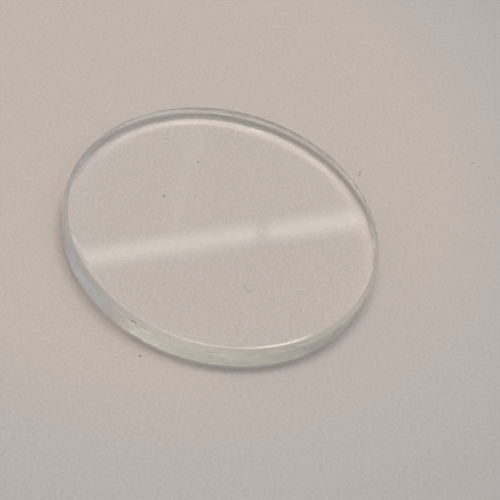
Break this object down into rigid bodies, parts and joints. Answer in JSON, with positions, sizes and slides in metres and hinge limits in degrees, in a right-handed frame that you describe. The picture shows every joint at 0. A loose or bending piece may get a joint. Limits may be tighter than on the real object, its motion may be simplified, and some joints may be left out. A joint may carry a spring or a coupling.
{
  "type": "watch crystal",
  "caption": "Flat round mineral-glass watch crystal: a clear disc with polished faces, a ground wall and chamfered edges.",
  "frame": {"origin": "centre of the underside, on the surface the crystal lies on", "axes": "+Z is the disc's axis, from the underside (inside the watch) to the upper face (outside the watch); X and Y are equivalent"},
  "size_m": [0.032, 0.032, 0.0025],
  "materials": {
    "mineral_glass": "clear soda-lime glass with a faint green tint in its depth; both faces polished, wall and chamfers finely ground"
  },
  "bodies": {
    "root": {"crystal": "mineral_glass"}
  },
  "joints": []
}
